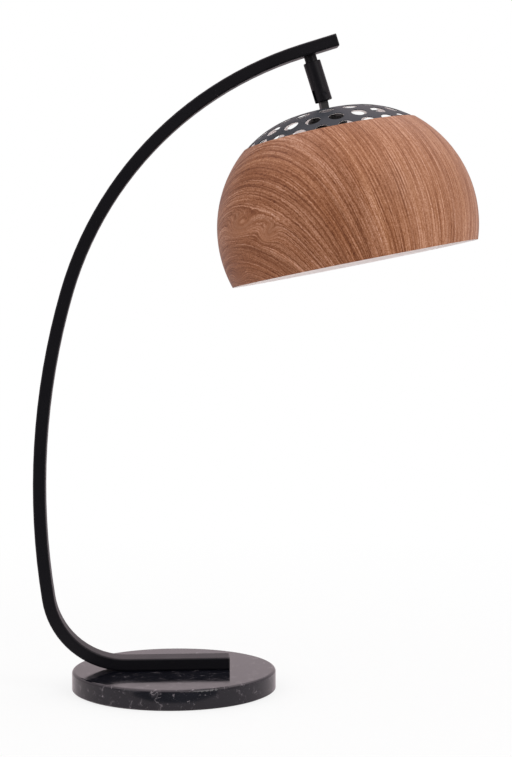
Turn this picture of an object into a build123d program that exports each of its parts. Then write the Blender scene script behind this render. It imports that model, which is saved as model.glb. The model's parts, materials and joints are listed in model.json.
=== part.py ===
from build123d import *
import math
import os

# Table lamp: a round marble base, one rectangular tube bent into an open C, and a
# dome shade with a perforated top that hangs from a swivel and tilt joint.
# The origin is the centre of the base's underside. +Z is up, +X runs along the foot
# to the shade's side, and the tube bends in the plane y = 0. All sizes are in mm.

# Base
base_d = 200.0
marble_thickness = 19.0
pad_thickness = 1.0
pad_inset = 3.0
marble_top_edge = 2.8
marble_low_edge = 0.9

# Bent tube, sized on its centre line
tube_wide = 25.0
tube_high = 12.0
tube_wall = 1.5
tube_corner = 1.8
foot_end_x = 54.3
foot_bend_x = -46.5
foot_bend_r = 76.6
foot_bend_turn = 81.2
back_r = 687.4
back_turn = 25.1
bow_r = 347.0
end_slope = 17.4
end_run = 35.0

# Plugs in the tube's two ends
plug_head = 1.2
plug_depth = 9.0
plug_wall = 1.6
plug_fit = 0.1

# Fixing of the foot to the marble
insert_length = 64.0
insert_gap = 2.0
insert_fit = 0.1
insert_edge = 0.8
screw_pitch = 40.0
screw_d = 6.0
screw_clearance = 0.3
thread_fit = 0.05
screw_head_d = 10.0
screw_head_high = 6.0
screw_socket_af = 5.0
screw_socket_deep = 3.5
screw_tip_gap = 1.0
foot_washer_d = 12.5
foot_washer_thickness = 1.6
counterbore_d = 14.0
counterbore_deep = 9.0

# Way of the cord through the base
wire_hole_d = 9.0
wire_hole_from_bend = 9.0
cord_groove_wide = 9.0
cord_groove_high = 8.0
gland_length = 12.0
gland_bore_d = 5.6
gland_setback = 0.6
gland_fit = 0.1

# Swivel: a fixed neck under the tube, and a barrel that turns on its shank
swivel_from_end = 29.2
neck_d = 12.0
neck_length = 6.0
neck_bore_d = 5.0
spigot_d = 9.0
spigot_fit = 0.1
tube_nut_af = 15.0
tube_nut_thickness = 5.0
friction_washer_thickness = 0.5
swivel_end_gap = 0.05
shank_d = 10.0
shank_length = 15.5
shank_fit = 0.05
shank_bore_gap = 0.5
barrel_d = 17.0
barrel_length = 39.6
barrel_edge = 0.5
swivel_rest = 14.6

# Stop of the swivel: a dog-point screw in a groove that a land interrupts
groove_drop = 7.0
groove_deep = 1.0
groove_wide = 2.4
land_angle = 10.0
stop_screw_d = 4.0
stop_dog_d = 2.0
stop_gap = 0.1
stop_setback = 0.4
stop_socket_af = 2.0
stop_socket_deep = 1.4

# Tilt joint: a slot in the barrel's lower end, open below and to one side
pin_above_end = 6.5
slot_wide = 7.1
slot_roof = 5.9
slot_back_gap = 0.1
tongue_wide = 7.8
tongue_thick = 6.0
tilt_washer_thickness = 0.5
tilt_washer_d = 7.6
tilt_pin_d = 4.0
tilt_pin_fit = 0.05
tilt_stop = 36.0
pin_press_fit = 0.01
pin_setback = 0.45
barrel_wire_d = 4.4
barrel_wire_offset = 4.6
tilt_rest = 6.6

# Stem below the joint
cap_drop = 15.2
stem_foot_d = 13.0
stem_foot_high = 1.0
stud_d = 8.0
stud_bore_d = 3.6
stud_hole_fit = 0.15
stud_engaged = 9.0
stem_window_drop = 6.4
stem_window_slant = 60.0

# Shade: a shell turned on an arc, and a dome that stands in its upper opening. The
# shell's height follows from the dome's edge.
shell_wall = 1.0
shell_arc_r = 119.5
shell_arc_off_axis = 8.0
shell_arc_above_rim = 37.0
dome_edge_r = 83.5
dome_rise = 23.8
dome_wall = 0.9
dome_seat_r = 9.0
dome_crown_r = 184.0
dome_crown_wide = 27.1
dome_skirt_high = 14.0
dome_skirt_fit = 0.1

# Holes in the dome. Each ring's place is its share of the way from the apex to the shell's
# edge, which cuts the last ring, and each ring holds as many holes as the pitch allows.
hole_d = 15.0
hole_pitch = 22.7
ring_shares = (0.28, 0.547, 0.798, 1.016)
ring_turns = (0.0, 1.3, 10.6, 10.1)

# Fastening under the dome
seat_washer_d = 18.0
seat_washer_thickness = 0.8
stud_nut_af = 13.0
stud_nut_thickness = 4.0

# Lampholder
holder_d = 38.0
holder_cap_high = 20.0
holder_cap_round = 6.0
holder_wall = 2.3
holder_roof = 4.0
holder_skirt_high = 38.5
holder_mouth_d = 40.0
holder_spigot_high = 3.0
holder_spigot_wall = 1.1
holder_fit = 0.1
ledge_high = 2.0
block_drop = 2.0
block_high = 9.0
screw_shell_d = 27.8
screw_shell_wall = 0.4
screw_shell_gap = 0.25
screw_shell_high = 24.0
contact_wide = 5.0
contact_leaf = 0.4
contact_reach = 8.0
contact_fall = 2.6
terminal_d = 3.0
terminal_head_d = 5.0
terminal_head_high = 1.8
terminal_spread = 11.0

# Bulb
bulb_sleeve_d = 26.4
bulb_sleeve_wall = 0.5
bulb_sleeve_high = 21.0
bulb_shoulder_high = 3.0
bulb_contact_d = 9.0
bulb_contact_high = 1.8
bulb_contact_gap = 0.3
bulb_d = 60.0
bulb_neck_high = 6.0
bulb_glass_high = 80.0
bulb_glass_wall = 1.0
bulb_glass_fit = 0.1
bulb_glass_engaged = 8.0

# How far a cut runs past the face that it opens
past = 1.0

# Heights and places that follow from the sizes above
base_r = base_d / 2
marble_top = pad_thickness + marble_thickness
foot_z = marble_top + tube_high / 2
foot_floor = marble_top + tube_wall
bow_turn = 180.0 - end_slope - foot_bend_turn - back_turn
slope = math.radians(end_slope)
barrel_top = barrel_length - pin_above_end
barrel_r = barrel_d / 2
dome_top = -cap_drop
skirt_inset = shell_wall + dome_skirt_fit
shell_high = shell_arc_above_rim + math.sqrt(
    (shell_arc_r - skirt_inset) ** 2 - (dome_edge_r - shell_arc_off_axis) ** 2)
rim_z = dome_top - dome_rise - shell_high


def post(d, low, high):
    return Pos(0, 0, low) * Cylinder(d / 2, high - low, align=(Align.CENTER, Align.CENTER, Align.MIN))


def ring(outer_d, inner_d, low, high):
    return post(outer_d, low, high) - post(inner_d, low - past, high + past)


def hexagon(across_flats, low, high):
    outline = RegularPolygon(across_flats / 2, 6, major_radius=False)
    return extrude(Pos(0, 0, low) * outline, high - low)


def turned(section):
    """Turn a section, drawn with x as radius and y as height, about the Z axis."""
    return revolve(Plane.XZ * section, Axis.Z)


def box_between(low, high):
    size = [b - a for a, b in zip(low, high)]
    return Pos(*low) * Box(*size, align=(Align.MIN, Align.MIN, Align.MIN))


# Centre line of the tube, from the foot's end round to the upper end
def tube_path(trim_start, trim_end):
    foot = Line((foot_end_x - trim_start, foot_z), (foot_bend_x, foot_z))
    bend = JernArc(foot @ 1, foot % 1, foot_bend_r, -foot_bend_turn)
    back = JernArc(bend @ 1, bend % 1, back_r, -back_turn)
    bow = JernArc(back @ 1, back % 1, bow_r, -bow_turn)
    run = bow % 1
    finish = Line(bow @ 1, bow @ 1 + run * (end_run - trim_end))
    return Plane.XZ * Wire([foot, bend, back, bow, finish])


def tube_section(inset):
    corner = max(tube_corner - inset, 0.3)
    return RectangleRounded(tube_wide - 2 * inset, tube_high - 2 * inset, corner)


full_path = tube_path(0, 0)
tube_end = full_path @ 1

# The frame of the upper end has Z out of the tube, X across the plane of the bend
# and Y across the tube's height.
foot_frame = Plane(origin=full_path @ 0, x_dir=(0, 1, 0), z_dir=(1, 0, 0))
end_frame = Plane(origin=tube_end, x_dir=(0, 1, 0), z_dir=full_path % 1)

# Frames of the swivel. Z runs up the barrel's axis, and the origin is the tilt pin.
swivel_up = Vector(-math.sin(slope), 0, math.cos(slope))
neck_top = tube_end - (full_path % 1) * swivel_from_end - swivel_up * (tube_high / 2)
barrel_drop = neck_length + friction_washer_thickness + swivel_end_gap
tilt_point = neck_top - swivel_up * (barrel_drop + barrel_top)
neck_frame = Location(tuple(tilt_point), (0, -end_slope, 0))
barrel_frame = neck_frame * Location((0, 0, 0), (0, 0, swivel_rest))
head_frame = barrel_frame * Location((0, 0, 0), (0, tilt_rest, 0))

# Places along the foot
insert_high_x = foot_end_x - plug_head - plug_depth - insert_gap
insert_mid_x = insert_high_x - insert_length / 2
screw_xs = [insert_mid_x - screw_pitch / 2, insert_mid_x + screw_pitch / 2]
wire_hole_x = foot_bend_x + wire_hole_from_bend
seat_z = pad_thickness + counterbore_deep


def base_pad():
    return post(base_d - 2 * pad_inset, 0, pad_thickness)


def groove_outline(fit):
    wide = cord_groove_wide - 2 * fit
    high = cord_groove_high - fit
    straight = high - wide / 2
    arch = Pos(0, straight) * Circle(wide / 2) & Pos(0, high / 2) * Rectangle(wide, high)
    return arch + Pos(0, straight / 2) * Rectangle(wide, straight)


def groove_bar(fit, y_start, y_end):
    plane = Plane(origin=(wire_hole_x, y_start, pad_thickness), x_dir=(-1, 0, 0), z_dir=(0, 1, 0))
    return extrude(plane * groove_outline(fit), y_end - y_start)


def marble_base():
    disc = post(base_d, pad_thickness, marble_top)
    disc = fillet(disc.edges().group_by(Axis.Z)[-1], marble_top_edge)
    disc = fillet(disc.edges().group_by(Axis.Z)[0], marble_low_edge)
    for x in screw_xs:
        disc -= Pos(x, 0, 0) * post(screw_d + 2 * screw_clearance, 0, marble_top + past)
        disc -= Pos(x, 0, 0) * post(counterbore_d, 0, seat_z)
    disc -= Pos(wire_hole_x, 0, 0) * post(wire_hole_d, 0, marble_top + past)
    disc -= groove_bar(0, 0, base_r + past)
    return disc


def cord_gland():
    half = cord_groove_wide / 2
    edge_y = math.sqrt(base_r ** 2 - (abs(wire_hole_x) + half) ** 2)
    y_end = edge_y - marble_low_edge - gland_setback
    body = groove_bar(gland_fit, y_end - gland_length, y_end)
    bore_z = pad_thickness + cord_groove_high - half
    bore = Pos(wire_hole_x, y_end, bore_z) * Rot(90, 0, 0) * post(gland_bore_d, -past, gland_length + past)
    return body - bore


def foot_washers():
    washer = ring(foot_washer_d, screw_d + screw_clearance, seat_z - foot_washer_thickness, seat_z)
    return Compound([Pos(x, 0, 0) * washer for x in screw_xs])


def foot_screws():
    head_top = seat_z - foot_washer_thickness
    tip = foot_z + tube_high / 2 - tube_wall - screw_tip_gap
    screw = post(screw_head_d, head_top - screw_head_high, head_top)
    screw += post(screw_d, head_top, tip)
    low = head_top - screw_head_high
    screw -= hexagon(screw_socket_af, low - past, low + screw_socket_deep)
    return Compound([Pos(x, 0, 0) * screw for x in screw_xs])


def foot_insert():
    half_wide = tube_wide / 2 - tube_wall - insert_fit
    high = tube_high - 2 * tube_wall - insert_fit
    bar = box_between((insert_high_x - insert_length, -half_wide, foot_floor),
                      (insert_high_x, half_wide, foot_floor + high))
    bar = chamfer(bar.edges().filter_by(Axis.X), insert_edge)
    for x in screw_xs:
        bar -= Pos(x, 0, 0) * post(screw_d + 2 * thread_fit, foot_floor - past, foot_z + tube_high)
    return bar


def arc_tube():
    path = tube_path(plug_head, plug_head)
    start = Plane(origin=path @ 0, x_dir=(0, 1, 0), z_dir=path % 0)
    tube = sweep(start * tube_section(0), path) - sweep(start * tube_section(tube_wall), path)
    for x in screw_xs:
        tube -= Pos(x, 0, 0) * post(screw_d + 2 * screw_clearance, marble_top - past, foot_z)
    tube -= Pos(wire_hole_x, 0, 0) * post(wire_hole_d, marble_top - past, foot_z)
    spigot_top = barrel_top + barrel_drop + tube_high / 2
    tube -= neck_frame * post(spigot_d + 2 * spigot_fit, spigot_top - tube_high, spigot_top)
    return tube


def end_plug(frame):
    head = extrude(frame * tube_section(0), -plug_head)
    inset = tube_wall + plug_fit
    deep = plug_head + plug_depth
    body = extrude(frame * tube_section(inset), -deep)
    hollow = extrude(frame * tube_section(inset + plug_wall), -(deep + past))
    hollow -= extrude(frame * tube_section(0), -(plug_head + plug_wall))
    return head + body - hollow


def tube_nut():
    low = barrel_top + barrel_drop + tube_wall
    nut = hexagon(tube_nut_af, low, low + tube_nut_thickness)
    nut -= post(spigot_d + 2 * thread_fit, low - past, low + tube_nut_thickness + past)
    return neck_frame * nut


def swivel_neck():
    collar_top = barrel_top + barrel_drop
    collar_low = collar_top - neck_length
    neck = post(neck_d, collar_low, collar_top)
    neck += post(spigot_d, collar_top, collar_top + tube_wall + tube_nut_thickness)
    neck += post(shank_d, collar_low - shank_length, collar_low)
    groove_z = barrel_top - groove_drop
    low, high = groove_z - groove_wide / 2, groove_z + groove_wide / 2
    groove = ring(shank_d + 2, shank_d - 2 * groove_deep, low, high)
    reach = shank_d
    half = reach * math.tan(math.radians(land_angle / 2))
    wedge = Polygon((0, 0), (half, -reach), (-half, -reach), align=None)
    land = extrude(Pos(0, 0, low) * wedge, groove_wide)
    neck -= groove - land
    return neck_frame * (neck - post(neck_bore_d, collar_low - shank_length - past, collar_top + tube_high))


def friction_washer():
    low = barrel_top + swivel_end_gap
    return neck_frame * ring(neck_d, shank_d + 2 * shank_fit, low, low + friction_washer_thickness)


def swivel_barrel():
    barrel = post(barrel_d, -pin_above_end, barrel_top)
    barrel = chamfer(barrel.edges().filter_by(GeomType.CIRCLE), barrel_edge)
    shank_low = barrel_top + swivel_end_gap + friction_washer_thickness - shank_length
    bore_low = shank_low - shank_bore_gap
    barrel -= post(shank_d + 2 * shank_fit, bore_low, barrel_top + past)
    barrel -= Pos(-barrel_wire_offset, 0, 0) * post(barrel_wire_d, 0, bore_low + shank_bore_gap)
    slot_back = tongue_wide / 2 + slot_back_gap
    barrel -= box_between((-barrel_d, -slot_wide / 2, -barrel_d), (slot_back, slot_wide / 2, slot_roof))
    across = Rot(90, 0, 0) * post(tilt_pin_d + 2 * pin_press_fit, -barrel_d, barrel_d)
    screw_hole = post(stop_screw_d + 2 * thread_fit, 0, barrel_d)
    screw_way = Pos(0, 0, barrel_top - groove_drop) * Rot(-90, 0, 0) * screw_hole
    return barrel_frame * (barrel - across - screw_way)


def stop_screw():
    outer = barrel_r - stop_setback
    shoulder = shank_d / 2 + shank_fit + stop_gap
    tip = shank_d / 2 - groove_deep + stop_gap
    screw = post(stop_screw_d, shoulder, outer) + post(stop_dog_d, tip, shoulder)
    screw -= hexagon(stop_socket_af, outer - stop_socket_deep, outer + past)
    return barrel_frame * Pos(0, 0, barrel_top - groove_drop) * Rot(-90, 0, 0) * screw


def tilt_pin():
    half = barrel_r - pin_setback
    return barrel_frame * Rot(90, 0, 0) * post(tilt_pin_d, -half, half)


def tilt_washers():
    outer = slot_wide / 2
    washer = ring(tilt_washer_d, tilt_pin_d + 2 * tilt_pin_fit, outer - tilt_washer_thickness, outer)
    return Compound([barrel_frame * Rot(side * 90, 0, 0) * washer for side in (1, -1)])


def tilt_tongue():
    half = tongue_wide / 2
    outline = Circle(half) + Pos(0, dome_top / 2) * Rectangle(tongue_wide, cap_drop)
    heel = (slot_roof - half * math.sin(math.radians(tilt_stop))) / math.cos(math.radians(tilt_stop))
    outline += Pos(-half / 2, heel / 2) * Rectangle(half, heel)
    blade = extrude(Plane.XZ * outline, tongue_thick / 2, both=True)
    stud_low = dome_top - dome_wall - seat_washer_thickness - stud_nut_thickness - stud_engaged
    tongue = blade + post(stud_d, stud_low, dome_top)
    tongue += post(stem_foot_d, dome_top, dome_top + stem_foot_high)
    tongue -= post(stud_bore_d, stud_low - past, -stem_window_drop)
    slanted = Pos(0, 0, -stem_window_drop) * Rot(0, -stem_window_slant, 0)
    window = slanted * post(stud_bore_d, 0, tongue_wide)
    across = Rot(90, 0, 0) * post(tilt_pin_d + 2 * tilt_pin_fit, -tongue_thick, tongue_thick)
    return head_frame * (tongue - window - across)


# The shell's arc in the section plane, x as radius and y as height above the rim
def shell_disc(inset):
    return Pos(shell_arc_off_axis, shell_arc_above_rim) * Circle(shell_arc_r - inset)


def band(low, high):
    wide = 2 * shell_arc_r
    return Pos(wide / 2, (low + high) / 2) * Rectangle(wide, high - low)


def wood_shade():
    section = (shell_disc(0) - shell_disc(shell_wall)) & band(0, shell_high)
    return head_frame * Pos(0, 0, rim_z) * turned(section)


# The dome's profile: a flat seat, a crown arc and an edge arc that ends at the shell's
# upper inner edge. The three are tangent.
crown_turn = math.asin((dome_crown_wide - dome_seat_r) / dome_crown_r)
edge_out = dome_edge_r - dome_crown_wide
edge_down = dome_rise - dome_crown_r * (1 - math.cos(crown_turn))
edge_arc_r = (edge_out ** 2 + edge_down ** 2) / (
    2 * (edge_down * math.cos(crown_turn) - edge_out * math.sin(crown_turn)))


def dome_lines(inset):
    seat = Line((0, -inset), (dome_seat_r, -inset))
    crown = JernArc(seat @ 1, seat % 1, dome_crown_r - inset, -math.degrees(crown_turn))
    edge = JernArc(crown @ 1, crown % 1, edge_arc_r - inset, math.degrees(crown_turn) - 90)
    return [seat, crown, edge]


def dome_region(inset, low):
    lines = dome_lines(inset)
    corner = (0, (lines[-1] @ 1).Y)
    under = make_face([*lines, Line(lines[-1] @ 1, corner), Line(corner, lines[0] @ 0)])
    top = shell_high + dome_rise
    within = shell_disc(skirt_inset + inset) + band(shell_high, top)
    return Pos(0, top) * under & within & band(low, top)


def perforated_cap():
    skirt_low = shell_high - dome_skirt_high
    section = dome_region(0, skirt_low) - dome_region(dome_wall, skirt_low - past)
    cap = Pos(0, 0, rim_z) * turned(section)
    tools = [post(stud_d + 2 * stud_hole_fit, dome_top - dome_seat_r, dome_top + past)]
    profile = Plane.XZ * Wire(dome_lines(0))
    edge_turn = math.asin(edge_out / edge_arc_r + math.sin(crown_turn)) - crown_turn
    dome_arc = dome_seat_r + dome_crown_r * crown_turn + edge_arc_r * edge_turn
    for share, turn in zip(ring_shares, ring_turns):
        along = share * dome_arc
        middle = profile.position_at(along, position_mode=PositionMode.LENGTH)
        run = profile.tangent_at(along, position_mode=PositionMode.LENGTH)
        drill = Plane(origin=middle, x_dir=(0, 1, 0), z_dir=(-run.Z, 0, run.X)) * post(
            hole_d, -hole_d / 2, hole_d / 2)
        count = round(2 * math.pi * middle.X / hole_pitch)
        for step in range(count):
            tools.append(Pos(0, 0, dome_top) * Rot(0, 0, turn + step * 360 / count) * drill)
    return head_frame * (cap - tools)


def seat_washer():
    high = dome_top - dome_wall
    return head_frame * ring(seat_washer_d, stud_d + 2 * stud_hole_fit, high - seat_washer_thickness, high)


def stud_nut():
    high = dome_top - dome_wall - seat_washer_thickness
    low = high - stud_nut_thickness
    nut = hexagon(stud_nut_af, low, high)
    return head_frame * (nut - post(stud_d + 2 * thread_fit, low - past, high + past))


# Heights in the lampholder, all measured down from the nut
holder_top = dome_top - dome_wall - seat_washer_thickness - stud_nut_thickness
holder_joint = holder_top - holder_cap_high
holder_low = holder_joint - holder_skirt_high
block_top = holder_joint - block_drop
block_low = block_top - block_high
holder_bore_d = holder_d - 2 * holder_wall
spigot_outer_d = holder_bore_d - 2 * holder_fit
spigot_inner_d = spigot_outer_d - 2 * holder_spigot_wall
block_d = spigot_inner_d - 2 * holder_fit


def holder_cap():
    cup = post(holder_d, holder_joint, holder_top)
    cup = fillet(cup.edges().group_by(Axis.Z)[-1], holder_cap_round)
    inner = post(holder_bore_d, holder_joint - past, holder_top - holder_roof)
    inner = fillet(inner.edges().group_by(Axis.Z)[-1], holder_cap_round - holder_wall)
    hole = post(stud_d + 2 * thread_fit, holder_joint, holder_top + past)
    return head_frame * (cup - inner - hole)


def holder_skirt():
    outer = Pos(0, 0, holder_low) * Cone(holder_mouth_d / 2, holder_d / 2, holder_skirt_high,
                                         align=(Align.CENTER, Align.CENTER, Align.MIN))
    skirt = outer + post(spigot_outer_d, holder_joint, holder_joint + holder_spigot_high)
    skirt -= post(spigot_inner_d, block_low, holder_joint + holder_spigot_high + past)
    skirt -= post(screw_shell_d + 2 * screw_shell_gap, holder_low - past, block_low + past)
    skirt -= post(spigot_outer_d, holder_low - past, block_low - ledge_high)
    return head_frame * skirt


def contact_block():
    block = post(block_d, block_low, block_top)
    for side in (1, -1):
        hole = post(terminal_d + 2 * thread_fit, block_top - block_high / 2, block_top + past)
        block -= Pos(0, side * terminal_spread, 0) * hole
    return head_frame * block


def terminal_screws():
    screw = post(terminal_d, block_top - block_high / 2, block_top)
    screw += post(terminal_head_d, block_top, block_top + terminal_head_high)
    return Compound([head_frame * Pos(0, side * terminal_spread, 0) * screw for side in (1, -1)])


def screw_shell():
    inner_d = screw_shell_d - 2 * screw_shell_wall
    return head_frame * ring(screw_shell_d, inner_d, block_low - screw_shell_high, block_low)


def centre_contact():
    low = block_low - contact_fall
    leaf = Polyline((contact_reach, block_low), (contact_reach, block_low - contact_leaf),
                    (contact_reach / 2, block_low - contact_leaf), (contact_leaf, low),
                    (-contact_reach / 2, low), (-contact_reach / 2, low + contact_leaf),
                    (0, low + contact_leaf), (contact_reach / 2 - contact_leaf, block_low), close=True)
    return head_frame * extrude(Plane.XZ * make_face(leaf), contact_wide / 2, both=True)


# Heights in the bulb, down from the contact leaf
bulb_top = block_low - contact_fall - bulb_contact_gap
bulb_shoulder = bulb_top - bulb_contact_high
bulb_sleeve_top = bulb_shoulder - bulb_shoulder_high
bulb_seam = bulb_sleeve_top - bulb_sleeve_high
bulb_sleeve_bore_d = bulb_sleeve_d - 2 * bulb_sleeve_wall


def bulb_contact():
    return head_frame * post(bulb_contact_d, bulb_shoulder, bulb_top)


def bulb_insulator():
    return head_frame * Pos(0, 0, bulb_sleeve_top) * Cone(
        bulb_sleeve_d / 2, bulb_contact_d / 2, bulb_shoulder_high,
        align=(Align.CENTER, Align.CENTER, Align.MIN))


def bulb_sleeve():
    return head_frame * ring(bulb_sleeve_d, bulb_sleeve_bore_d, bulb_seam, bulb_sleeve_top)


def bulb_region(inset):
    """Section of the glass from inside the sleeve down to the tip, x as radius."""
    neck_r = bulb_sleeve_bore_d / 2 - bulb_glass_fit - inset
    neck = Line((neck_r, bulb_glass_engaged), (neck_r, -bulb_neck_high))
    ball_r = bulb_d / 2 - inset
    drop = bulb_glass_high - bulb_neck_high - bulb_d / 2
    flare_r = (drop ** 2 + neck_r ** 2 - ball_r ** 2) / (2 * (ball_r - neck_r))
    flare_turn = math.degrees(math.atan2(drop, neck_r + flare_r))
    flare = JernArc(neck @ 1, neck % 1, flare_r, flare_turn)
    ball = CenterArc((0, bulb_d / 2 - bulb_glass_high), ball_r, flare_turn, -90 - flare_turn)
    top = Line((0, bulb_glass_engaged), neck @ 0)
    return make_face([top, neck, flare, ball, Line(ball @ 1, top @ 0)])


def bulb_glass():
    section = bulb_region(0) - bulb_region(bulb_glass_wall)
    return head_frame * Pos(0, 0, bulb_seam) * turned(section)


nodes = {
    "base_pad": base_pad,
    "marble_base": marble_base,
    "cord_gland": cord_gland,
    "foot_washers": foot_washers,
    "foot_screws": foot_screws,
    "foot_insert": foot_insert,
    "arc_tube": arc_tube,
    "foot_plug": lambda: end_plug(foot_frame),
    "top_plug": lambda: end_plug(end_frame),
    "tube_nut": tube_nut,
    "swivel_neck": swivel_neck,
    "friction_washer": friction_washer,
    "swivel_barrel": swivel_barrel,
    "stop_screw": stop_screw,
    "tilt_pin": tilt_pin,
    "tilt_washers": tilt_washers,
    "tilt_tongue": tilt_tongue,
    "perforated_cap": perforated_cap,
    "wood_shade": wood_shade,
    "seat_washer": seat_washer,
    "stud_nut": stud_nut,
    "holder_cap": holder_cap,
    "holder_skirt": holder_skirt,
    "contact_block": contact_block,
    "terminal_screws": terminal_screws,
    "screw_shell": screw_shell,
    "centre_contact": centre_contact,
    "bulb_contact": bulb_contact,
    "bulb_insulator": bulb_insulator,
    "bulb_sleeve": bulb_sleeve,
    "bulb_glass": bulb_glass,
}

os.makedirs("parts", exist_ok=True)
for name, make in nodes.items():
    export_step(make(), f"parts/{name}.step")
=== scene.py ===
import json
import math

import bpy
from mathutils import Euler, Matrix, Vector


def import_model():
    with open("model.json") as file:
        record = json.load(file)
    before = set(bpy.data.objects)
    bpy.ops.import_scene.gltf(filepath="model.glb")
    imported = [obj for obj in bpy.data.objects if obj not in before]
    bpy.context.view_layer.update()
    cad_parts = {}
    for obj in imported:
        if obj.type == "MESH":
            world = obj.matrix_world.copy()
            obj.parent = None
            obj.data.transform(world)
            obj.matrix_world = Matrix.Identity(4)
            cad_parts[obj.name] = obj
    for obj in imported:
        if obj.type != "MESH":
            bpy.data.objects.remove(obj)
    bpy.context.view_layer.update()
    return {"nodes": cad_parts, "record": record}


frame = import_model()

# Camera: lens and sensor, place in metres, and degrees down, to the right and of roll
LENS_MM = 88.37
SENSOR_MM = 36.0
CAMERA_PLACE = (-0.0322, -1.8121, 0.4013)
CAMERA_DOWN = 3.04
CAMERA_TO_RIGHT = 3.58
CAMERA_ROLL = -0.09

# The head's frame, with the tilt pin as origin and Z along the shade's axis
JOINTS = {joint["name"]: joint for joint in frame["record"]["behaviour"]["joints"]}
PIN = Vector(JOINTS["shade_tilt"]["pos_m"])
LEAN = math.radians(17.4)
SWIVEL = math.radians(14.6)
TILT = math.radians(6.6)
HEAD_TURN = (Matrix.Rotation(-LEAN, 3, "Y") @ Matrix.Rotation(SWIVEL, 3, "Z")
             @ Matrix.Rotation(TILT, 3, "Y"))

# The shell's arc in the head's frame, in metres: its centre off the axis and up, and its radius
SHELL_OFF_AXIS = 0.008
SHELL_Z = -0.1302
SHELL_R = 0.1195
SHELL_WALL = 0.001

# The dome's two arcs in the same frame, and the radius from the axis where they meet
CROWN_OFF_AXIS = 0.009
CROWN_Z = -0.1992
CROWN_R = 0.184
EDGE_OFF_AXIS = 0.01653
EDGE_Z = -0.12302
EDGE_R = 0.10744
CROWN_ENDS_AT = 0.0271
DOME_WALL = 0.0009

# How much of a wall's thickness, from its outer face inwards, has the outer colour
OUTER_SHARE = 0.8

# The grain's arches: at which angle round the axis they stand, and the radius that makes angles lengths
ARCHES_AT = -1.45
GIRTH_R = 127.0

# How far the arches lean aside for each millimetre of height, and how that grows
ARCH_LEAN = 0.418
ARCH_LEAN_GROWTH = 0.00034

# How round the arches' tips are, how far the arches fall 100 mm to the side, and by which power
TIP_ROUNDNESS = 60.0
ARCH_FALL = 43.7
ARCH_POWER = 2.2

# Rings widen away from the heart, by a logarithm of the arch's height, and wander by some millimetres
RING_HEIGHT = 80.0
RING_START = 1.475
RING_SCALE = 160.0
RING_WANDER = 22.0

# Closed figures of the grain: place across and up, half width and height, and their lift of the rings
FIGURES = [(16.0, 17.0, 22.0, 10.0, 17.0), (58.0, 3.0, 10.0, 8.0, 12.0), (10.0, -30.0, 14.0, 8.0, 11.0)]

# Dark bands of the grain: at which ring, and half width. Between them the print is a little lighter
DARK_BANDS = [(50.0, 40.0), (150.0, 19.0), (208.0, 18.0)]
BAND_DEPTH = 0.33
BETWEEN_BANDS = 1.06

# The print's ground colour from dark to light, as screen colours
PRINT_TONES = [(0.20, (134, 86, 58)), (0.44, (152, 100, 70)), (0.56, (168, 115, 84)),
               (0.80, (184, 132, 99))]

# How much late wood and veins darken the grain, gleams lighten it and ripples do both
LATE_WOOD_DARKENS = 0.38
VEINS_DARKEN = 0.28
GLEAMS_LIGHTEN = 0.34
RIPPLES_CHANGE = 0.08

# Powers that darken red, green and blue in the grain: dark wood keeps its red longest
CHANNEL_POWERS = (0.68, 1.03, 1.50)

# Widths of a ring of late wood and of a ripple, in millimetres across the grain
LATE_WOOD_MM = 4.4
RIPPLE_MM = 2.9

# Powder-coat white, a little warm, inside the shade and the dome
INSIDE_WHITE = [(0.3, (0.955, 0.885, 0.875)), (0.7, (0.97, 0.91, 0.90))]
INSIDE_ROUGH = 0.55

# The backdrop as shiny surfaces show it: white with a rosy cast, and a painted dark reflection of a gap
# in front
BACKDROP_IN_GLOSS = (0.69, 0.59, 0.62)
PAINTED_GAP_IN_GLOSS = (0.02, 0.02, 0.03)
WHITE = (1.0, 1.0, 1.0)

# The painted reflection's dark gap in front of the lamp, in metres: where it starts and is full, its
# sides' slope and soft edge
GAP_STARTS = -0.131
GAP_IS_FULL = -0.139
GAP_SIDE_SLOPE = 0.66
GAP_SOFT_EDGE = 0.006

# The floor keeps its shadow near the lamp and turns to plain white further off, in metres
FLOOR_HALF_WIDTH = 8.0
SHADOW_UNTIL = 0.25
WHITE_FROM = 1.1
WHITE_SHARE_NEAR = 0.80

# Levels of the surroundings: as light, and as gloss shows them in front, behind and added overhead
SOFT_LIGHT = 0.96
GLOSS_IN_FRONT = 0.36
GLOSS_BEHIND = 1.0
GLOSS_OVERHEAD = 2.0


class Value:
    """What comes out of a node. Arithmetic and comparisons with it add math nodes."""

    def __init__(self, nodes, socket):
        self.nodes = nodes
        self.socket = socket

    def __add__(self, other):
        return self.nodes.math("ADD", self, other)

    def __sub__(self, other):
        return self.nodes.math("SUBTRACT", self, other)

    def __mul__(self, other):
        return self.nodes.math("MULTIPLY", self, other)

    def __truediv__(self, other):
        return self.nodes.math("DIVIDE", self, other)

    def __pow__(self, power):
        return self.nodes.math("POWER", self, power)

    def __radd__(self, other):
        return self.nodes.math("ADD", other, self)

    def __rsub__(self, other):
        return self.nodes.math("SUBTRACT", other, self)

    def __rmul__(self, other):
        return self.nodes.math("MULTIPLY", other, self)

    def __rtruediv__(self, other):
        return self.nodes.math("DIVIDE", other, self)

    def __abs__(self):
        return self.nodes.math("ABSOLUTE", self)

    def __gt__(self, other):
        return self.nodes.math("GREATER_THAN", self, other)

    def __lt__(self, other):
        return self.nodes.math("LESS_THAN", self, other)


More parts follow.
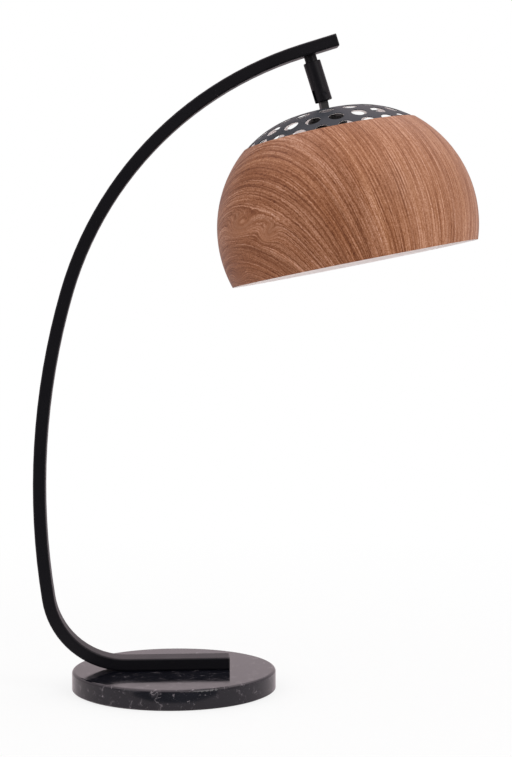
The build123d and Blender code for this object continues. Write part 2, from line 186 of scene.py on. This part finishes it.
class Nodes:
    """Short calls that add nodes to a tree."""

    def __init__(self, tree):
        self.tree = tree

    def put(self, socket, value):
        """Give an input its value, or a link where the value comes out of a node."""
        if isinstance(value, Value):
            self.tree.links.new(value.socket, socket)
        elif socket.type == "RGBA":
            socket.default_value = (*value, 1.0)
        else:
            socket.default_value = value

    def add(self, kind, inputs, **settings):
        """Add a node with its settings and inputs."""
        made = self.tree.nodes.new(kind)
        for key, value in settings.items():
            setattr(made, key, value)
        for key, value in inputs.items():
            self.put(made.inputs[key], value)
        return made

    def node(self, kind, output, inputs, **settings):
        """Add a node and take one of its outputs."""
        return Value(self, self.add(kind, inputs, **settings).outputs[output])

    def math(self, operation, *values):
        return self.node("ShaderNodeMath", "Value", dict(enumerate(values)), operation=operation)

    def largest(self, first, *others):
        for other in others:
            first = self.math("MAXIMUM", first, other)
        return first

    def bell(self, square):
        """1 where the square is 0, and falling to nothing as it grows."""
        return 1.0 / self.math("EXPONENT", square)

    def place(self):
        return self.node("ShaderNodeTexCoord", "Object", {})

    def separate(self, vector):
        """A vector's x, y and z."""
        made = self.add("ShaderNodeSeparateXYZ", {"Vector": vector})
        return [Value(self, socket) for socket in made.outputs]

    def noise(self, vector, scale, detail=2.0, rough=0.5, w=None, output="Fac"):
        inputs = {"Vector": vector, "Scale": scale, "Detail": detail, "Roughness": rough}
        if w is None:
            return self.node("ShaderNodeTexNoise", output, inputs)
        return self.node("ShaderNodeTexNoise", output, {**inputs, "W": w}, noise_dimensions="4D")

    def ramp(self, value, stops):
        """Colour by a number from 0 to 1, with the stops' colours at their places."""
        made = self.add("ShaderNodeValToRGB", {"Fac": value})
        elements = made.color_ramp.elements
        while len(elements) < len(stops):
            elements.new(0.5)
        for element, (position, color) in zip(elements, stops):
            element.position = position
            element.color = (*color, 1.0)
        return Value(self, made.outputs["Color"])

    def band(self, value, low, high, to_low=0.0, to_high=1.0, easing="LINEAR"):
        """Carry the range from low to high over to another, and hold its ends."""
        inputs = {"Value": value, "From Min": low, "From Max": high, "To Min": to_low, "To Max": to_high}
        return self.node("ShaderNodeMapRange", "Result", inputs, clamp=True, interpolation_type=easing)

    def between(self, share, a, b):
        """Number a where the share is 0, and b where it is 1."""
        return self.node("ShaderNodeMix", "Result", {"Factor": share, "A": a, "B": b})

    def mix(self, share, a, b, blend="MIX"):
        """Colour a where the share is 0, and b blended with it where it is 1."""
        inputs = {"Factor": share, "A": a, "B": b}
        return self.node("ShaderNodeMix", "Result", inputs, data_type="RGBA", blend_type=blend)

    def bump(self, height, strength, distance):
        inputs = {"Height": height, "Strength": strength, "Distance": distance}
        return self.node("ShaderNodeBump", "Normal", inputs)

    def rays(self):
        """Three numbers, 1 or 0: rays of the camera, rays mirrored by gloss and rays through glass."""
        made = self.add("ShaderNodeLightPath", {})
        kinds = ("Camera", "Glossy", "Transmission")
        return [Value(self, made.outputs[f"Is {kind} Ray"]) for kind in kinds]


class Shader(Nodes):
    """A new material and its nodes."""

    def __init__(self, name):
        self.material = bpy.data.materials.new(name)
        self.material.use_nodes = True
        super().__init__(self.material.node_tree)
        self.bsdf = self.tree.nodes["Principled BSDF"]

    def set(self, **values):
        for key, value in values.items():
            self.put(self.bsdf.inputs[key.replace("_", " ")], value)


def linear(screen_color):
    """Linear colour from an 8-bit screen colour."""
    shares = [channel / 255 for channel in screen_color]
    return tuple(c / 12.92 if c <= 0.04045 else ((c + 0.055) / 1.055) ** 2.4 for c in shares)


def tinted(color, factor):
    """The colour made darker or lighter."""
    return tuple(min(1.0, channel * factor) for channel in color)


def coated(name, color, rough, peel_size, peel_depth, gloss):
    """Powder coat or moulding skin: a fine orange peel, and slight changes in colour and shine."""
    s = Shader(name)
    place = s.place()
    patch = s.noise(place, scale=22.0, detail=3.0, rough=0.6)
    peel = s.noise(place, scale=1.0 / peel_size, detail=3.0, rough=0.55)
    s.set(Base_Color=s.mix(patch, tinted(color, 0.86), tinted(color, 1.12)))
    s.set(Roughness=s.band(patch, 0.3, 0.7, rough - 0.04, rough + 0.04))
    s.set(Normal=s.bump(peel, strength=0.35, distance=peel_depth))
    s.set(Specular_IOR_Level=gloss)
    return s.material


def plain_metal(name, color, rough, scratch_size=0.00035):
    """Bare or plated metal: fine scratches, and patches that are darker and smoother."""
    s = Shader(name)
    place = s.place()
    patch = s.noise(place, scale=90.0, detail=3.0, rough=0.6)
    scratches = s.noise(place, scale=1.0 / scratch_size, detail=2.0, rough=0.6)
    s.set(Base_Color=s.mix(patch, tinted(color, 0.8), color))
    s.set(Metallic=1.0)
    s.set(Roughness=s.band(patch, 0.3, 0.7, rough - 0.06, rough + 0.08))
    s.set(Normal=s.bump(scratches, strength=0.15, distance=0.0001))
    return s.material


def moulded(name, color, rough, grain=0.0006):
    """Plastic, rubber, ceramic or glass: a fine grain, and slight changes in colour and shine."""
    s = Shader(name)
    place = s.place()
    patch = s.noise(place, scale=60.0)
    fine = s.noise(place, scale=1.0 / grain)
    s.set(Base_Color=s.mix(patch, tinted(color, 0.85), color))
    s.set(Roughness=s.band(patch, 0.3, 0.7, rough - 0.05, rough + 0.05))
    s.set(Normal=s.bump(fine, strength=0.3, distance=0.00006))
    return s.material


def head_polar(s):
    """A point's place in the head's frame, its x, y and z there, and how far it is from the axis."""
    inputs = {"Vector": s.place(), "Location": PIN, "Rotation": HEAD_TURN.to_euler("XYZ")}
    place = s.node("ShaderNodeMapping", "Vector", inputs, vector_type="TEXTURE")
    x, y, z = s.separate(place)
    return place, x, y, z, s.math("SQRT", x * x + y * y)


def from_arc(s, radius, z, off_axis, arc_z):
    """How far a point lies from the centre of an arc of the profile."""
    across = radius - off_axis
    above = z - arc_z
    return s.math("SQRT", across * across + above * above)


def two_sided(s, place, outside, color, rough):
    """White powder coat inside, and the given colour and roughness outside."""
    inside = s.ramp(s.noise(place, scale=40.0), INSIDE_WHITE)
    s.set(Base_Color=s.mix(outside, inside, color))
    s.set(Roughness=s.between(outside, INSIDE_ROUGH, rough))


def grain_rings(s):
    """The grain's rings, in millimetres across it, and where its closed figures are, from 0 to 1."""
    place, x, y, z, radius = head_polar(s)

    # Across the shade and up its profile, in millimetres
    up = s.math("ARCTAN2", z - SHELL_Z, radius - SHELL_OFF_AXIS) * (1000 * SHELL_R)
    round_angle = s.math("ARCTAN2", x, y * -1.0)
    lean = up * (up * ARCH_LEAN_GROWTH + ARCH_LEAN)
    across = (round_angle - ARCHES_AT) * GIRTH_R - lean

    # Arches nested down the shade, which open out into near straight lines
    wide = s.math("SQRT", across * across + TIP_ROUNDNESS ** 2)
    arch = up + (wide * 0.01) ** ARCH_POWER * ARCH_FALL
    ring = s.math("LOGARITHM", arch * (1 / RING_HEIGHT) + RING_START, math.e) * RING_SCALE
    ring = ring + (s.noise(place, scale=5.0, detail=1.0) - 0.5) * RING_WANDER

    # Small closed figures low on the left, and rings that waver round them
    in_figure = 0.0
    for at_across, at_up, half_width, half_height, lift in FIGURES:
        aside = (across - at_across) / half_width
        above = (up - at_up) / half_height
        share = s.bell(aside * aside + above * above)
        ring = ring + share * lift
        in_figure = in_figure + share
    waver = s.noise(place, scale=230.0, detail=1.0) - 0.5
    ring = ring + waver * s.band(ring, 110.0, 175.0, to_low=2.0, to_high=0.5)
    return place, radius, z, ring, in_figure


def wood_shade():
    """Walnut grain print outside, white inside."""
    s = Shader("walnut_print")
    place, radius, z, ring, in_figure = grain_rings(s)

    def streaks(width_mm, per_metre, detail=0.0, rough=0.55):
        """Noise with one size across the grain and another along it."""
        return s.noise(place, per_metre, detail, rough, w=ring * (1 / (width_mm * per_metre)))

    def thin_lines(noise, width):
        """Thin lines where a noise crosses its middle, 1 on the line."""
        return s.band(abs(noise - 0.5), 0.0, width, to_low=1.0, to_high=0.0)

    broad = streaks(width_mm=18.0, per_metre=2.5, detail=1.0)
    bands = streaks(width_mm=2.6, per_metre=5.0, detail=1.0, rough=0.6)
    lines = streaks(width_mm=1.8, per_metre=9.0)
    fine = streaks(width_mm=1.1, per_metre=22.0)
    pores = streaks(width_mm=1.0, per_metre=280.0)
    specks = s.noise(place, scale=800.0, detail=1.0, rough=0.6)
    veins = thin_lines(streaks(width_mm=2.4, per_metre=5.0), width=0.05)
    gleams = thin_lines(streaks(width_mm=3.2, per_metre=5.0), width=0.035)

    # Late wood: each ring darkens slowly, then ends at a sharp edge
    phase = ring * (1 / LATE_WOOD_MM) + streaks(width_mm=22.0, per_metre=3.0, detail=1.0) * 6.0
    late = s.math("FRACT", phase) ** 6.0
    patches = streaks(width_mm=14.0, per_metre=5.0, detail=1.0)
    late = late * s.band(patches, 0.42, 0.56, to_low=0.25, to_high=1.0)

    # Ripples: near even lines between the rings
    turns = ring * (1 / RIPPLE_MM) + streaks(width_mm=7.0, per_metre=7.0) * 3.0
    ripple = s.math("SINE", turns * (2 * math.pi))

    # Ground colour, darker near the grain's heart
    from_heart = s.band(ring, 96.0, 215.0)
    tone = broad * 0.50 + bands * 0.50 + (from_heart - 0.70) * 0.17
    ground = s.ramp(tone, [(position, linear(color)) for position, color in PRINT_TONES])

    # How much darker or lighter than its ground the grain is
    dark = 1.0 - late * LATE_WOOD_DARKENS
    dark = dark * (1.0 - veins * VEINS_DARKEN)
    dark = dark * (1.0 + gleams * GLEAMS_LIGHTEN)
    dark = dark * (1.0 + ripple * RIPPLES_CHANGE)
    dark = dark * s.band(lines, 0.30, 0.70, to_low=0.89, to_high=1.11)
    dark = dark * s.band(fine, 0.30, 0.70, to_low=0.64, to_high=1.36)
    dark = dark * s.band(pores, 0.28, 0.46, to_low=0.70, to_high=1.04)
    dark = dark * s.band(specks, 0.25, 0.75, to_low=0.64, to_high=1.36)

    # The grain is stronger near its heart than round the side, and weak in the closed figures
    contrast = s.band(ring, 185.0, 235.0, to_low=1.20, to_high=0.88)
    dark = dark ** (contrast * s.band(in_figure, 0.15, 0.75, to_low=1.0, to_high=0.45))

    # Three dark bands, the first of them round the heart
    figure = BETWEEN_BANDS
    for at_ring, half_width in DARK_BANDS:
        aside = (ring - at_ring) / half_width
        figure = figure * (1.0 - s.bell(aside * aside) * BAND_DEPTH)
    dark = dark * figure

    channels = {index: dark ** power for index, power in enumerate(CHANNEL_POWERS)}
    grain = s.node("ShaderNodeCombineColor", "Color", channels)
    outside = from_arc(s, radius, z, SHELL_OFF_AXIS, SHELL_Z) > SHELL_R - OUTER_SHARE * SHELL_WALL
    wood = s.mix(1.0, ground, grain, "MULTIPLY")
    rough = s.band(bands, 0.3, 0.7, to_low=0.52, to_high=0.42)
    two_sided(s, place, outside, wood, rough)
    s.set(Normal=s.bump(lines + pores * 0.6, strength=0.10, distance=0.00015))
    s.set(Specular_IOR_Level=0.28)
    return s.material


def dome_lacquer():
    """Satin gunmetal lacquer outside, white inside."""
    s = Shader("gunmetal_lacquer")
    place, _, _, z, radius = head_polar(s)
    under_crown = CROWN_R - from_arc(s, radius, z, CROWN_OFF_AXIS, CROWN_Z)
    under_edge = EDGE_R - from_arc(s, radius, z, EDGE_OFF_AXIS, EDGE_Z)
    depth = s.between(radius > CROWN_ENDS_AT, under_crown, under_edge)
    patch = s.noise(place, scale=22.0, detail=3.0, rough=0.6)
    lacquer = s.ramp(patch, [(0.3, linear((40, 46, 52))), (0.7, linear((47, 53, 59)))])
    rough = s.band(patch, 0.3, 0.7, to_low=0.42, to_high=0.50)
    two_sided(s, place, depth < OUTER_SHARE * DOME_WALL, lacquer, rough)
    peel = s.noise(place, scale=1100.0, detail=3.0, rough=0.55)
    s.set(Normal=s.bump(peel, strength=0.3, distance=0.00004))
    s.set(Specular_IOR_Level=0.17)
    return s.material


def marble():
    """Polished black marble with short pale squiggles and flecks."""
    s = Shader("black_marble")
    place = s.place()
    cloud = s.noise(place, scale=16.0, detail=5.0, rough=0.6)
    body = s.ramp(cloud, [(0.3, (0.0030, 0.0033, 0.0062)), (0.7, (0.0085, 0.0088, 0.0135))])

    # Squiggles: thin bands where a noise crosses its middle, kept in a few places
    shift = s.noise(place, scale=90.0, detail=3.0, output="Color")
    shift = s.node("ShaderNodeVectorMath", "Vector", {0: shift, "Scale": 0.010}, operation="SCALE")
    path = s.node("ShaderNodeVectorMath", "Vector", {0: place, 1: shift}, operation="ADD")
    swirl = abs(s.noise(path, scale=60.0, detail=3.0, rough=0.55) - 0.5)
    where = s.band(s.noise(place, scale=85.0), 0.54, 0.66)
    thin = s.band(swirl, 0.0, 0.011, to_low=1.0, to_high=0.0) * where
    haze = s.band(swirl, 0.0, 0.07, to_low=0.16, to_high=0.0) * where

    flecks = s.band(s.noise(path, scale=300.0, detail=2.0, rough=0.6), 0.64, 0.74)
    flecks = flecks * s.band(s.noise(place, scale=38.0), 0.46, 0.58, to_low=0.0, to_high=0.75)
    pale = (0.24, 0.21, 0.23)
    s.set(Base_Color=s.mix(s.largest(thin, haze, flecks), body, pale))
    s.set(Roughness=s.band(s.noise(place, scale=60.0), 0.3, 0.7, to_low=0.07, to_high=0.13))
    s.set(Normal=s.bump(cloud, strength=0.02, distance=0.0002))
    s.set(Specular_IOR_Level=0.5)
    return s.material


def bulb_glass():
    """Frosted white glass."""
    s = Shader("frosted_glass")
    cloud = s.noise(s.place(), scale=80.0)
    s.set(Base_Color=s.ramp(cloud, [(0.3, (0.80, 0.80, 0.78)), (0.7, (0.88, 0.88, 0.86))]))
    s.set(Roughness=s.band(cloud, 0.3, 0.7, to_low=0.28, to_high=0.36))
    s.set(Subsurface_Weight=0.3, Subsurface_Scale=0.004)
    return s.material


def dress(material, *names):
    """Give nodes of the frame a material."""
    for name in names:
        piece = frame["nodes"][name]
        for slot in piece.material_slots:
            slot.material = material
        if not piece.data.materials:
            piece.data.materials.append(material)


black_coat = coated("black_powder_coat", (0.0024, 0.0025, 0.0046), rough=0.44, peel_size=0.0007,
                    peel_depth=0.00008, gloss=0.28)
tongue_coat = coated("tongue_black", (0.012, 0.012, 0.011), rough=0.36, peel_size=0.0007,
                     peel_depth=0.00004, gloss=0.45)
black_plastic = moulded("black_plastic", (0.012, 0.012, 0.012), rough=0.42)
rubber = moulded("black_rubber", (0.018, 0.018, 0.018), rough=0.75, grain=0.001)
phenolic = coated("black_phenolic", (0.006, 0.006, 0.006), rough=0.45, peel_size=0.002,
                  peel_depth=0.00006, gloss=0.15)
nylon = moulded("black_nylon", (0.010, 0.010, 0.010), rough=0.5)
porcelain = moulded("white_porcelain", (0.78, 0.77, 0.74), rough=0.28)
black_glass = moulded("black_insulator", (0.008, 0.008, 0.008), rough=0.15)
zinc = plain_metal("zinc_plate", (0.60, 0.61, 0.63), rough=0.35)
dark_steel = plain_metal("blackened_steel", (0.022, 0.022, 0.026), rough=0.45)
brass = plain_metal("brass", (0.72, 0.52, 0.24), rough=0.30)
nickel = plain_metal("nickel", (0.66, 0.64, 0.60), rough=0.26)
solder = plain_metal("solder", (0.58, 0.58, 0.60), rough=0.42)

dress(rubber, "base_pad", "cord_gland")
dress(marble(), "marble_base")
dress(zinc, "foot_washers", "foot_screws", "foot_insert", "tube_nut", "seat_washer", "stud_nut")
dress(black_coat, "arc_tube", "swivel_neck", "swivel_barrel")
dress(tongue_coat, "tilt_tongue")
dress(black_plastic, "foot_plug", "top_plug")
dress(nylon, "friction_washer", "tilt_washers")
dress(dark_steel, "stop_screw", "tilt_pin")
dress(dome_lacquer(), "perforated_cap")
dress(wood_shade(), "wood_shade")
dress(phenolic, "holder_cap", "holder_skirt")
dress(porcelain, "contact_block")
dress(brass, "terminal_screws", "screw_shell", "centre_contact")
dress(solder, "bulb_contact")
dress(black_glass, "bulb_insulator")
dress(nickel, "bulb_sleeve")
dress(bulb_glass(), "bulb_glass")


def floor():
    """Pale floor, nearly white to the camera near the lamp, where its shadow stays, and white beyond; in
    gloss it shows a painted dark gap in front of the base.
    """
    half = FLOOR_HALF_WIDTH
    mesh = bpy.data.meshes.new("floor")
    corners = [(-half, -half, 0), (half, -half, 0), (half, half, 0), (-half, half, 0)]
    mesh.from_pydata(corners, [], [(0, 1, 2, 3)])
    made = bpy.data.objects.new("floor", mesh)
    bpy.context.scene.collection.objects.link(made)
    s = Shader("pale_floor")
    s.set(Base_Color=(0.90, 0.89, 0.89), Roughness=0.9, Specular_IOR_Level=0.1)
    place = s.place()
    x, y, _ = s.separate(place)
    by_camera, by_gloss, by_glass = s.rays()

    # Painted reflection: only in gloss, the floor turns dark just in front of the base, between two
    # sloped sides, so polished surfaces show a dark band
    behind = s.band(y, GAP_IS_FULL, GAP_STARTS)
    aside = s.band(abs(x) + y * GAP_SIDE_SLOPE, -GAP_SOFT_EDGE, GAP_SOFT_EDGE)
    painted_gap_reflection = s.mix(s.largest(behind, aside), PAINTED_GAP_IN_GLOSS, BACKDROP_IN_GLOSS)
    color = s.mix(by_gloss, WHITE, painted_gap_reflection)
    glow = s.node("ShaderNodeEmission", "Emission", {"Color": color, "Strength": 1.0})
    far = s.node("ShaderNodeVectorMath", "Value", {0: place}, operation="LENGTH")
    whiteness = s.band(far, SHADOW_UNTIL, WHITE_FROM, WHITE_SHARE_NEAR, 1.0)
    share = s.largest(by_camera, by_gloss, by_glass) * whiteness
    lit = Value(s, s.bsdf.outputs["BSDF"])
    both = s.node("ShaderNodeMixShader", "Shader", {0: share, 1: lit, 2: glow})
    s.put(s.tree.nodes["Material Output"].inputs["Surface"], both)
    made.data.materials.append(s.material)


def world():
    """White to the camera. In gloss it is white behind the lamp, darker in front and bright overhead."""
    made = bpy.data.worlds.new("studio")
    bpy.context.scene.world = made
    made.use_nodes = True
    s = Nodes(made.node_tree)
    direction = s.node("ShaderNodeTexCoord", "Generated", {})
    _, y, z = s.separate(direction)
    by_camera, by_gloss, by_glass = s.rays()
    around = s.band(y, -0.85, 0.05, GLOSS_IN_FRONT, GLOSS_BEHIND, easing="SMOOTHSTEP")
    overhead = s.band(z, 0.45, 0.90, 0.0, GLOSS_OVERHEAD, easing="SMOOTHSTEP")
    shine = s.largest(by_gloss, by_glass)
    level = s.between(shine, SOFT_LIGHT, around + overhead)
    background = s.tree.nodes["Background"]
    s.put(background.inputs["Strength"], s.between(by_camera, level, 1.0))
    s.put(background.inputs["Color"], s.mix(shine, WHITE, BACKDROP_IN_GLOSS))


def area_light(name, place, aim, size, power, color):
    data = bpy.data.lights.new(name, "AREA")
    data.shape = "RECTANGLE"
    data.size, data.size_y = size
    data.energy = power
    data.color = color
    made = bpy.data.objects.new(name, data)
    made.location = place
    made.rotation_euler = (Vector(aim) - Vector(place)).to_track_quat("-Z", "Y").to_euler()
    bpy.context.scene.collection.objects.link(made)


floor()
world()
area_light("key", place=(1.7, -1.7, 1.9), aim=(0.1, 0.0, 0.35), size=(1.2, 1.2), power=12.0,
           color=(1.0, 0.985, 0.97))
area_light("fill", place=(-1.9, -1.5, 1.1), aim=(0.05, 0.0, 0.35), size=(0.9, 1.6), power=3.0,
           color=(0.98, 0.99, 1.0))

camera = bpy.data.objects.new("camera", bpy.data.cameras.new("camera"))
camera.data.sensor_width = SENSOR_MM
camera.data.lens = LENS_MM
camera.location = CAMERA_PLACE
turn = Euler((math.radians(90 - CAMERA_DOWN), 0, math.radians(-CAMERA_TO_RIGHT))).to_matrix()
camera.rotation_euler = (turn @ Matrix.Rotation(math.radians(CAMERA_ROLL), 3, "Z")).to_euler()
bpy.context.scene.collection.objects.link(camera)
bpy.context.scene.camera = camera
bpy.context.scene.view_settings.view_transform = "Standard"
